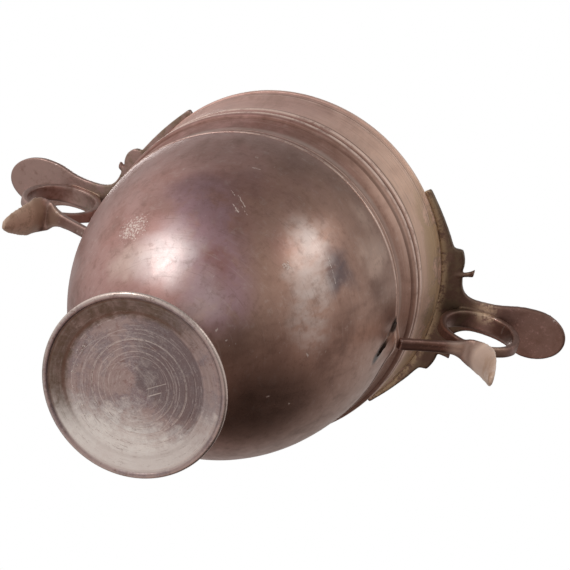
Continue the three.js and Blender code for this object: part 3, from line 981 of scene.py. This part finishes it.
# %% Bowl silver
def bowl_silver():
    finish = new_silver("tarnished_bowl_silver", 0.12)
    where, (x, y, z) = finish.place()
    radius = (x * x + y * y) ** 0.5
    side, front = x / radius, y / radius
    cloud = finish.noise(where, 19, 1.3, 4, 0.55, 0.6)
    blot = finish.noise(where, 6.5, 4.7, 4, 0.6, 0.4)
    mottle = finish.noise(where, 2.6, 3.9, 5, 0.72, 0.3)
    speck = finish.noise(where, 0.9, 2.1, 3, 0.7)
    grain = finish.noise(where, 0.35, 8.8, 2, 0.7)
    smear = finish.noise(finish.vector("MULTIPLY", where, (1, 1, 0.16)), 3.0, 6.1, 4, 0.6)
    turned = finish.noise(finish.vector("MULTIPLY", where, (0.035, 0.035, 1)), 0.55, 3.3, 4, 0.7)
    lines = finish.noise(finish.vector("MULTIPLY", where, (0.03, 0.03, 1)), 0.42, 7.3, 3, 0.8)
    hair = finish.noise(finish.vector("MULTIPLY", where, (1.0, 0.5, 0.12)), 0.5, 9.1, 1, 0.5)
    drifted = finish.shaken(where, 0.11, 3.0, 11.0)
    bent = finish.shaken(where, 1.6, 2.0, 0.7)
    upper = z.step(86, 96)
    lip = z.step(99, 105)

    # the ground and its clouds
    paint = Paint(finish, finish.blend(mauve, rosy, cloud.step(0.42, 0.60)))
    paint.over(tan, (side * 0.7 - front * 0.1 + blot * 0.5).step(0.15, 0.8) * 0.9)
    bloom = finish.stroke(where, (-8.0, -38.0, 44.0), (9.0, -18.0, 23.0), 13.0)
    paint.over(violet, bloom * blot.step(0.3, 0.55) * 0.8)
    paint.over(umber, (cloud * 0.6 + smear * 0.4).step(0.48, 0.68) * 0.45)
    for centre, reach, tone, amount in clouds:
        paint.over(tone, finish.near(drifted, centre, reach, 0.15 * reach) * amount * (0.35 + smear * 1.3))
    # a pale haze along the second highlight's streak: partly a pale stain, partly painted highlight
    haze_and_highlight = finish.stroke(drifted, (23.5, -33.0, 50.5), (31.0, -14.0, 38.5), 10.5)
    paint.over(pale, haze_and_highlight * smear.step(0.3, 0.62) * 0.52)

    # fine mottling, specks and polishing lines
    paint.over(umber, mottle.step(0.50, 0.66) * 0.3)
    paint.over(pale, mottle.step(0.46, 0.32) * 0.16)
    paint.over(umber, speck.step(0.60, 0.74) * 0.3)
    paint.over(umber, lines.step(0.44, 0.28) * (0.3 - 0.12 * upper))
    paint.over(pale, lines.step(0.58, 0.72) * (0.14 - 0.06 * upper))

    # neck and lip
    neck = z.step(82, 86) * z.step(97, 95)
    paint.over(umber, neck * blot.step(0.3, 0.6) * side.step(0.75, 0.2) * 0.45)
    paint.over(sand, neck * z.step(91, 95) * side.step(0.3, 0.8) * front.step(-0.2, -0.6) * 0.65)
    bright_lip = finish.blend((0.78, 0.53, 0.47, 1), (1.0, 0.74, 0.60, 1), side.step(-0.2, 0.8))
    paint.over(bright_lip, lip * (0.5 + blot * 0.7))
    paint.over(tan, lip * (cloud * 0.5 + smear * 0.5).step(0.49, 0.62) * side.step(0.8, 0.0) * 0.35)
    paint.over(pale, upper * turned.step(0.5, 0.68) * 0.2)
    paint.over(umber, upper * turned.step(0.5, 0.32) * 0.3)

    # grooves, crests, and dirt in the corner beside each handle
    paint.over(umber, strongest(z.band(height, width) * much for height, width, much in groove_rings) * 0.85)
    # crests painted pale: partly rubbed metal, partly painted highlight
    rubbed = strongest(z.band(height, width) * much for height, width, much in crest_rings)
    paint.over(crest_wear_and_highlight, rubbed * (blot * 0.6 + speck * 0.4).step(0.36, 0.54) * 0.9)
    corner = z.step(104, 119) * side.math("ABSOLUTE").step(0.62, 0.92) * radius.step(50.2, 51.4)
    paint.over(olive, corner * (blot * 0.7 + speck * 0.3).step(0.38, 0.56) * (0.5 + 0.25 * side))
    paint.over(ochre, corner * z.step(107, 112) * blot.step(0.42, 0.55) * side.step(-0.2, 0.8) * 0.9)

    # chafed patches, scratches and hairlines
    chips = finish.noise(where, 0.55, 5.5, 3, 0.7)
    patches = [finish.near(bent, centre, reach, reach * 0.2) for centre, reach in chafed]
    flecks = [(patch * 0.17 + chips).step(0.64, 0.70) * patch.step(0.0, 0.3) for patch in patches]
    marks = strongest(flecks + [finish.stroke(bent, *scratch) for scratch in scratches])
    fine = hair.step(0.735, 0.77) * blot.step(0.45, 0.6) * (1 - upper)
    paint.over(scratched, marks.most(fine * 0.4) * (0.4 + 0.6 * grain))

    # the tear: a lifted lip painted pale, partly bright torn metal and partly painted highlight, and near-black
    # painted shade in the slit and at its ends
    bright = finish.stroke(where, *lip_line, 2.4) * radius.step(46.5, 47.0) * z.step(84, 82)
    paint.over(pale, bright * (0.3 + speck))
    # painted shade in the slit and at its ends, near-black
    dirt = finish.stroke(bent, *tear_line, 1.5) * radius.step(46.9, 46.2)
    paint.over(slit_shade_black, dirt.most(strongest(finish.stroke(bent, *end) for end in tear_ends) * 0.9))

    # the inside, where the egg's measure is less than on the outer skin
    tall = (z - bowl_bottom - egg_half) / egg_half
    inside = (radius * radius / egg_radius ** 2 + tall * tall).step(0.985, 0.965)
    paint.over((0.70, 0.615, 0.57, 1), inside * 0.7)

    soft = finish.near(where, (-7.3, -22.7, 28.3), 17.0, 3.0)
    rough = 0.37 + soft * 0.1 + inside * 0.08 + z.step(81, 87) * 0.24 + marks * 0.2 + corner * 0.15
    rough = rough + (blot - 0.5) * 0.18 + (mottle - 0.5) * 0.14 + (smear - 0.5) * 0.24
    height = (grain - 0.5) * 0.012 + (blot - 0.5) * 0.02 + (mottle - 0.5) * 0.02
    height = height + upper * (turned - 0.5) * 0.014 - marks * 0.02
    return wear_finish(finish, paint, rough, height)


sheet_finish = bowl_silver()

# %% [markdown]
# ## Marks of the foot
#
# The turner left circles round the floor's own middle, and a few more where the tool slipped. They are lists
# of radius, half width and strength. The scratches on the floor are given in plan, since they all lie at one
# height.

# %% Circles and scratches
turned_circles = ((11.3, 0.26, 1.0), (8.4, 0.2, 0.7), (13.6, 0.16, 0.5), (9.7, 0.16, 0.6), (7.2, 0.15, 0.5))
slipped_circles = ((12.6, 0.14, 0.5), (10.4, 0.12, 0.4), (6.1, 0.12, 0.4))
slipped_middle = (-2.4, 1.6)
scratch_height = 1.4
floor_scratches = (((3.0, -0.2), (7.0, -2.9), 0.17), ((3.8, 1.3), (6.3, -0.4), 0.2),
                   ((5.1, 1.6), (7.6, 4.1), 0.12), ((-11.0, -2.5), (-6.2, -3.8), 0.12),
                   ((10.4, -11.0), (8.0, -8.1), 0.12), ((0.7, -2.7), (2.5, -3.3), 0.14),
                   ((2.4, -2.8), (3.1, -1.9), 0.12), ((3.0, 0.6), (4.6, 1.9), 0.12))
print(len(turned_circles) + len(slipped_circles), "circles,", len(floor_scratches), "scratches on the floor")

# %% [markdown]
# ## Finish of the foot
#
# Underneath, the foot shows how it was turned: scribed circles, hair-fine rings that break off and start
# again, a pale area that is partly rubbed metal and partly painted highlight, violet tarnish on the floor with
# painted shade to one side, pits along an arc, and a slope with brown dirt and painted shade on one side, and
# rubbed metal with a painted highlight on the other. The rolled edge is rubbed pale.


# %% Foot silver
def foot_silver():
    finish = new_silver("turned_foot_silver", 0.12)
    where, (x, y, z) = finish.place()
    radius = (x * x + y * y) ** 0.5
    side, front = x / (radius + 0.5), y / (radius + 0.5)
    turned_x = x - turner_shift
    circle = (turned_x * turned_x + y * y) ** 0.5
    slip = ((x - slipped_middle[0]) ** 2 + (y - slipped_middle[1]) ** 2) ** 0.5
    under = z.step(2.3, 2.0)
    floor = under * radius.step(16.6, 16.0)
    cloud = finish.noise(where, 8, 1.9, 4, 0.6, 0.5)
    blot = finish.noise(where, 2.3, 7.7, 4, 0.7, 0.4)
    speck = finish.noise(where, 0.7, 3.4, 3, 0.7)
    grain = finish.noise(where, 0.3, 8.8, 2, 0.7)
    patchy = blot * 0.6 + speck * 0.4
    flat = finish.node("CombineXYZ", {}, {0: circle, 1: cloud * 2.5 + front * 1.2, 2: side * 1.2})
    rings = finish.noise(flat, 0.4, 5.2, 3, 0.8)

    # tarnish of the whole foot
    ground = (cloud * 0.6 + blot * 0.4).step(0.44, 0.55)
    paint = Paint(finish, finish.blend((0.45, 0.33, 0.31, 1), (0.26, 0.185, 0.20, 1), ground))
    paint.over((0.38, 0.22, 0.21, 1), blot.step(0.52, 0.64) * 0.5)
    paint.over(umber, patchy.step(0.53, 0.66) * 0.55)
    # the slate laid along this lean across the floor is painted shade, broken up by blots
    shaded = side * 0.8 - front * 0.6
    paint.over(slate, floor * (shaded + blot * 0.6).step(0.5, 1.0) * 0.7)
    paint.over((0.85, 0.76, 0.71, 1), (cloud * 0.4 + blot * 0.4 + grain * 0.2).step(0.45, 0.68) * 0.5)
    # a near-white area towards the front and the edge: partly rubbed metal, partly painted highlight
    rubbed_pale_and_highlight = (front * 0.33 + radius / 60 + blot * 0.35 + cloud * 0.3 + speck * 0.15).step(0.70, 1.0)
    paint.over((0.98, 0.92, 0.87, 1), rubbed_pale_and_highlight * radius.step(20.6, 20.2) * 0.95)

    # the slope: brown dirt and painted shade on one side, and rubbed metal with a painted highlight on the other
    slope = (radius + (blot - 0.5) * 2.4).step(15.3, 17.2) * radius.step(20.9, 20.5) * under
    painted_shade_side = (side * -0.75 - front * 0.65 + blot * 0.5).step(0.1, 0.85)
    paint.over((0.17, 0.115, 0.085, 1), slope * painted_shade_side * (0.85 + (blot - 0.5) * 1.6))
    painted_light_side = (side * 0.45 + front * 0.8 + blot * 0.4).step(0.35, 1.05)
    paint.over(pale, slope * painted_light_side * (0.3 + blot * 0.7))
    # dirt in the two grooves, heavier on the side of the painted shade
    gathered = (radius.band(17.2, 0.6) * 0.6).most(radius.band(20.3, 0.3) * 0.5)
    paint.over(umber, gathered * (1.1 + painted_shade_side * 0.5) * 0.55 * (painted_shade_side * 0.7 + 0.3))

    # circles, rings, and painted shade over them to one side of the floor
    circles = [circle.band(middle, width) * much for middle, width, much in turned_circles]
    circles += [slip.band(middle, width) * much for middle, width, much in slipped_circles]
    paint.over(pale, strongest(circles) * speck.step(0.35, 0.52) * floor * 0.85)
    paint.over(pale, rings.step(0.54, 0.70) * under * (0.25 + floor * 0.35))
    paint.over(umber, rings.step(0.46, 0.30) * under * (0.4 + floor * 0.2))
    paint.over(slate, floor * (shaded + (blot - 0.5) * 0.8).step(0.3, 0.95) * 0.3)

    # pits, scratches and the worn edge
    pits = radius.band(14.6, 1.6) * (side * -1.0 + front * 0.35).step(0.5, 0.9) * speck.step(0.56, 0.64) * floor
    paint.over(scratched, pits * 0.8)
    marks = strongest(finish.stroke(where, (*start, scratch_height), (*end, scratch_height), width)
                      for start, end, width in floor_scratches)
    paint.over(scratched, marks * 0.8)
    paint.over((0.86, 0.73, 0.67, 1), z.band(0.7, 1.1) * radius.step(21.1, 21.6) * 0.85)
    paint.over(umber, patchy.step(0.55, 0.62) * radius.step(20.6, 21.0) * 0.5)
    soiled = radius.step(20.5, 20.8) * (cloud * 0.5 + speck * 0.5).step(0.5, 0.6)
    paint.over((0.30, 0.19, 0.175, 1), soiled * 0.4)

    rough = 0.38 + (blot - 0.5) * 0.2 + (rings - 0.5) * 0.12
    height = (rings - 0.5) * 0.04 * under + (speck - 0.5) * 0.03 + (blot - 0.5) * 0.05
    height = height - marks * 0.04 + pits * 0.06
    return wear_finish(finish, paint, rough, height)


foot_finish = foot_silver()

# %% [markdown]
# ## Finish of the handles
#
# The castings are the brownest part: tarnish and dirt stay in their hollows and where they meet the lip, and
# edges that fingers touch are worn. On the right handle the arms beside the lip are darkened further, partly
# tarnish and partly painted shade. The Geometry node's pointiness tells edges from hollows. The leaves are
# dull and light, more earth than metal, so the finish lowers Metallic there. The left handle is a little
# lighter.


# %% Cast silver
def cast_silver():
    finish = new_silver("cast_handle_silver", 0.06)
    where, (x, y, z) = finish.place()
    reach = x.math("ABSOLUTE")
    point = finish.node("NewGeometry", output="Pointiness")
    cloud = finish.noise(where, 11, 2.9, 4, 0.6, 0.5)
    blot = finish.noise(where, 3.0, 6.6, 4, 0.65)
    speck = finish.noise(where, 0.7, 1.2, 3, 0.7)
    patchy = blot * 0.6 + speck * 0.4
    stain = blot * 0.6 + cloud * 0.4
    east = x.step(-10, 10)

    ground = east * 0.85 + (cloud - 0.5) * 0.8
    paint = Paint(finish, finish.blend((0.385, 0.255, 0.225, 1), (0.215, 0.116, 0.09, 1), ground))
    paint.over(umber, stain.step(0.50, 0.62) * 0.6)
    paint.over(mauve, (blot * 0.5 + speck * 0.5).step(0.48, 0.36) * 0.45)

    # the leaves: light, with a dark crease on the left one and a brown tip on the right one
    leaf = z.step(98, 94) * reach.step(60, 67)
    left_leaf, right_leaf = leaf * (1 - east), leaf * east
    paint.over(finish.blend((0.70, 0.51, 0.39, 1), (1.0, 0.80, 0.68, 1), east), leaf * (0.7 + blot * 0.4))
    dull = (blot * 0.55 + speck * 0.45).step(0.46, 0.58) * 0.5
    paint.over((0.33, 0.21, 0.145, 1), (left_leaf * z.step(88, 93) * 0.6).most(left_leaf * dull))
    paint.over((0.50, 0.30, 0.20, 1), leaf * z.step(86, 80) * stain.step(0.46, 0.58) * 0.5)
    brown_tip = z.step(94, 86) * (blot * 0.7 + cloud * 0.3).step(0.36, 0.58)
    paint.over((0.62, 0.42, 0.29, 1), right_leaf * brown_tip * 0.6)

    # the foot of the right ring, and dust at the root of its plate
    ring_low = z.step(104, 98) * z.step(94, 97) * x.step(70, 75)
    paint.over((0.62, 0.43, 0.32, 1), ring_low * 0.6)
    dusty = finish.near(where, (69.3, -5.4, 122.0), 6.0, 2.0) * east * patchy.step(0.42, 0.54)
    paint.over((0.88, 0.65, 0.46, 1), dusty * 0.9)

    # hollows and edges
    paint.over(umber, point.step(0.495, 0.47) * 0.7)
    on_ring = z.step(122, 118) * z.step(96, 99)
    worn = (point + (blot - 0.5) * 0.02).step(0.53, 0.58) * (1 - on_ring * 0.85)
    paint.over(pale, worn * 0.4)

    # the right handle's arms, dark beside the lip: partly tarnish, partly painted shade
    paint.over((0.13, 0.08, 0.055, 1), z.step(115, 119) * reach.step(66, 60) * east * 0.8)
    at_lip = ((x * x + y * y) ** 0.5).step(56.6, 54.6) * z.step(114, 119) * patchy.step(0.4, 0.55) * east
    paint.over((0.58, 0.42, 0.27, 1), at_lip * 0.8)
    seam = z.step(116, 120) * reach.step(70, 62) * blot.step(0.44, 0.58)
    paint.over(olive, seam * (0.45 - 0.1 * east))

    metallic = 0.85 - leaf * 0.62 - dusty * 0.5
    finish.tree.links.new(metallic.socket, finish.shader.inputs["Metallic"])
    rough = 0.42 + (blot - 0.5) * 0.2 - worn * 0.06 + leaf * 0.1
    return wear_finish(finish, paint, rough, (blot - 0.5) * 0.1 + (speck - 0.5) * 0.05)


cast_finish = cast_silver()

# %% [markdown]
# ## In place of the CAD nodes
#
# Each mesh rides on the root, stands for the CAD node of its name and takes its finish through a slot. Both
# handles share one slot, since they come from one mould.

# %% Pieces
finishes = {"silver_sheet": sheet_finish, "silver_foot": foot_finish, "silver_cast": cast_finish}
pieces = ((bowl, "bowl", "silver_sheet"), (foot, "foot", "silver_foot"),
          (handle_right, "handle_right", "silver_cast"), (handle_left, "handle_left", "silver_cast"))
for piece, node, slot in pieces:
    piece.data.materials.clear()
    piece.data.materials.append(finishes[slot])
    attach(piece, "root")
    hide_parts(node)
    print(piece.name, "stands for", node, "with", slot)

# %% [markdown]
# ## Floor and studio
#
# The cup stands on a pale plain floor, but the photograph looks up from under it. The floor's material is
# therefore clear on its back and matt on its front, and the floor is kept out of the light that reaches the
# cup. The light of the room is drawn into the world by direction, because polished metal shows the whole
# room: a white backdrop behind the cup, a light wall on the left, and darkness at the lower right.

# %% Floor
bpy.ops.object.select_all(action="DESELECT")
bpy.ops.mesh.primitive_plane_add(size=3, location=(0, 0, -0.0002))
studio_floor = named(bpy.context.object, "studio_floor")
bpy.ops.object.transform_apply(location=True)
paper = Finish(bpy.data.materials.new("floor_paper"))
fibre = paper.noise(paper.place()[0], 2.5, 0.4, 4, 0.7)
sheet = paper.blend((0.80, 0.79, 0.77, 1), (0.87, 0.86, 0.85, 1), fibre)
matt = paper.node("BsdfDiffuse", {}, {"Color": sheet})
clear = paper.node("BsdfTransparent")
back = paper.node("NewGeometry", output="Backfacing")
skin = paper.node("MixShader", {}, {0: back, 1: matt, 2: clear})
paper.tree.links.new(skin.socket, paper.tree.nodes["Material Output"].inputs["Surface"])
studio_floor.data.materials.append(paper.holder)
for ray in ("shadow", "diffuse", "glossy", "transmission"):
    setattr(studio_floor, "visible_" + ray, False)
print("floor laid")

# %% Room light
world = bpy.data.worlds.new("studio")
bpy.context.scene.world = world
room = Finish(world)
toward = room.node("TexCoord", output="Generated")


def glow(direction, start, full):
    """How much a direction lies towards a place in the room"""
    return room.vector("DOT_PRODUCT", toward, Vector(direction).normalized(), "Value").step(start, full)


bright_walls = (((-0.94, -0.3, 0.12), 0.66, 0.99, 0.5), ((-0.25, 0.35, -0.9), 0.3, 1.0, 0.38),
                ((-0.5, 0.0, 0.85), 0.5, 1.0, 0.16), ((0.05, -0.75, -0.65), 0.55, 1.0, 0.3),
                ((0.93, -0.35, 0.12), 0.7, 1.0, 0.4), ((0.2, 0.55, 0.8), 0.6, 1.0, 0.15),
                ((0.72, 0.25, 0.64), 0.8, 1.0, 0.14))
dark_corners = (((0.64, 0.76, 0.0), 0.66, 0.96, 0.92), ((0.8, 0.1, -0.5), 0.6, 0.95, 0.5))
level = 0.27
for direction, start, full, strength in bright_walls:
    level = level + glow(direction, start, full) * strength
for direction, start, full, strength in dark_corners:
    level = level * (1 - glow(direction, start, full) * strength)
tint = room.blend((1.0, 0.97, 0.94, 1), (1.0, 0.74, 0.66, 1), glow((0.62, 0.74, -0.25), 0.3, 0.95))
lit = room.node("Background", {}, {"Color": tint, "Strength": level})
white = room.node("Background", {}, {"Color": (1, 1, 1, 1), "Strength": 1.0})
seen = room.node("LightPath", output="Is Camera Ray")
both = room.node("MixShader", {}, {0: seen, 1: lit, 2: white})
room.tree.links.new(both.socket, room.tree.nodes["World Output"].inputs["Surface"])
bpy.context.scene.view_settings.view_transform = "Standard"
print("room drawn with", len(room.tree.nodes), "nodes")

# %% Lamps
cup_middle = Vector((0, 0, 65)) * mm


def lamp(name, direction, distance, size, energy, colour):
    data = bpy.data.lights.new(name, "AREA")
    data.shape = "DISK"
    data.size = size
    data.energy = energy
    data.color = colour
    light = bpy.data.objects.new(name, data)
    bpy.context.scene.collection.objects.link(light)
    toward_lamp = Vector(direction).normalized()
    light.location = cup_middle + toward_lamp * distance
    light.rotation_euler = toward_lamp.to_track_quat("Z", "Y").to_euler()
    light.visible_camera = False
    return light


key_lamp = lamp("key_lamp", (-0.60, -0.74, -0.32), 1.0, 0.22, 1.95, (1.0, 0.98, 0.95))
second_lamp = lamp("second_lamp", (0.60, -0.73, 0.33), 1.0, 0.42, 0.72, (1.0, 0.97, 0.94))
top_lamp = lamp("top_lamp", (-0.25, 0.15, 0.95), 1.2, 0.6, 4.0, (1.0, 0.98, 0.96))
print("lamps:", key_lamp.name, second_lamp.name, top_lamp.name)
